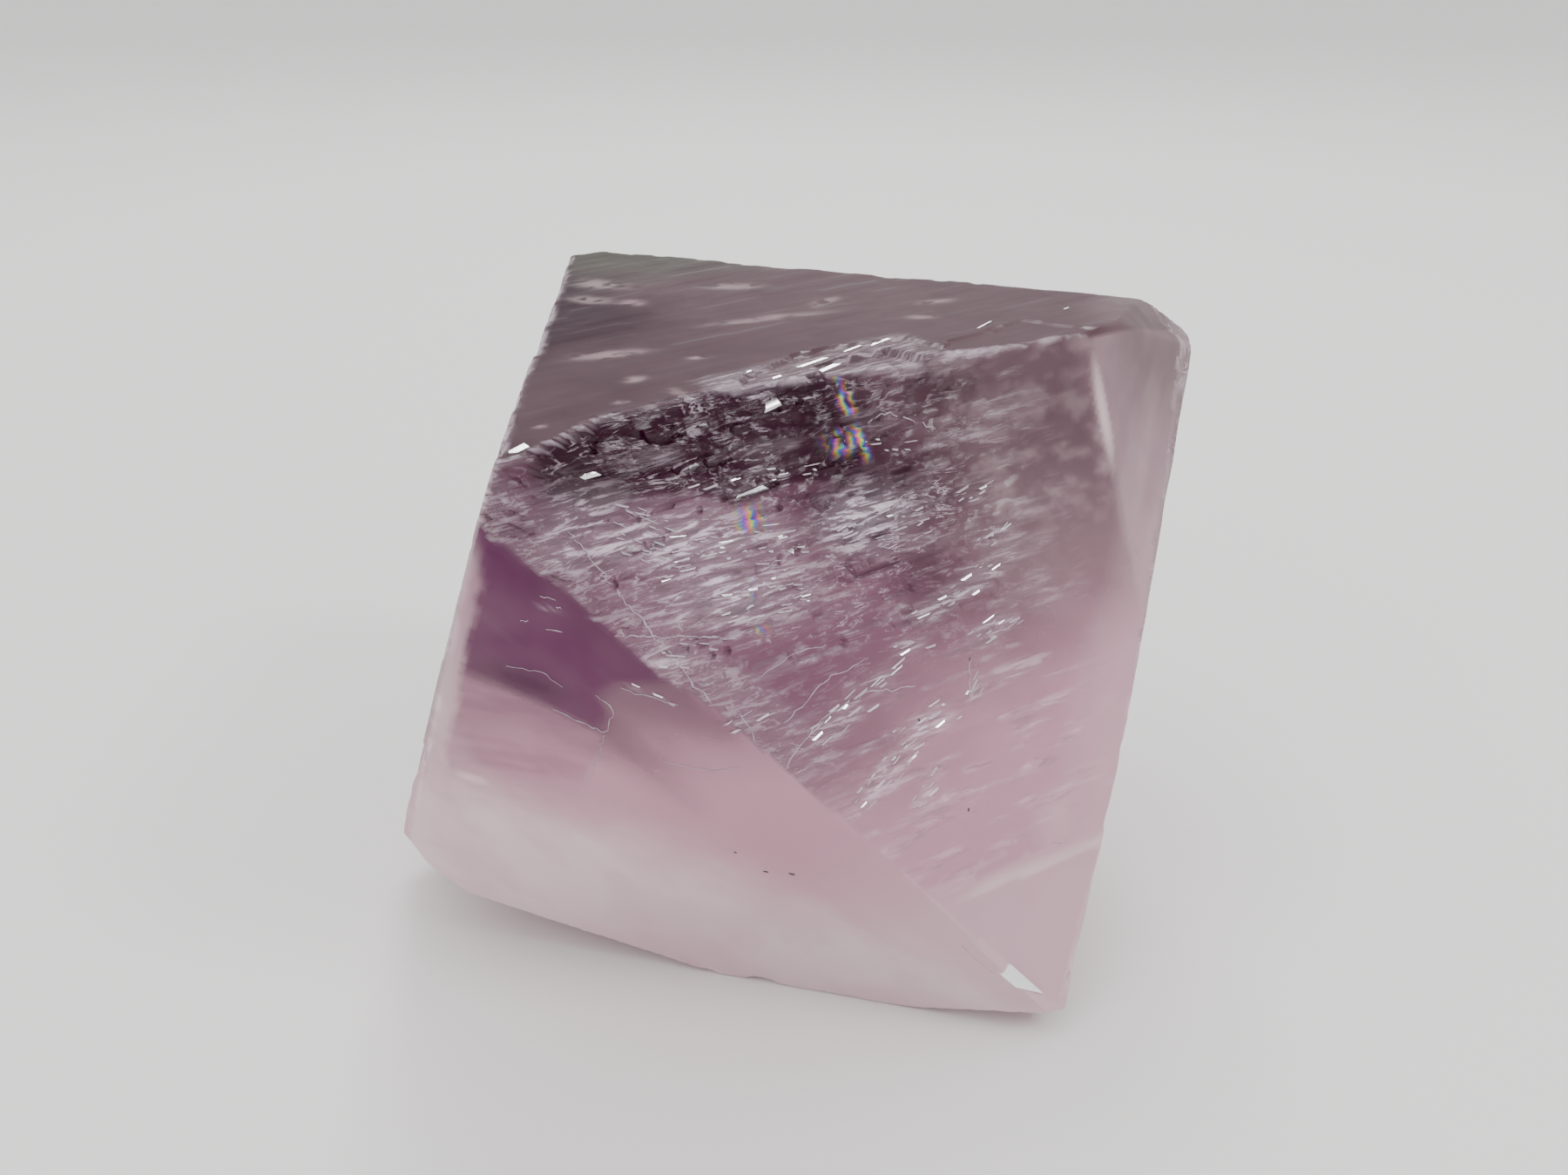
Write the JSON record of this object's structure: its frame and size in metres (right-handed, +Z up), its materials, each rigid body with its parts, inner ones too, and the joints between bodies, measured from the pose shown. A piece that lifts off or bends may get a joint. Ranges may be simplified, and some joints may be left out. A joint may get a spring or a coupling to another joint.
{
  "type": "purple octahedral crystal",
  "caption": "Cleaved purple fluorite octahedron with stepped, chipped edges, lying on one triangular face.",
  "frame": {"origin": "centre of the bounding box, at the height of the face the crystal lies on", "axes": "+Z up, square to the resting face; +X to the right of the front face; +Y away from the front face"},
  "size_m": [0.0384, 0.0372, 0.0292],
  "materials": {
    "purple_crystal": "translucent mineral, satin on its cleavage faces, purple at one corner and milky pink at its foot"
  },
  "bodies": {
    "root": {"crystal": "purple_crystal"}
  },
  "joints": []
}
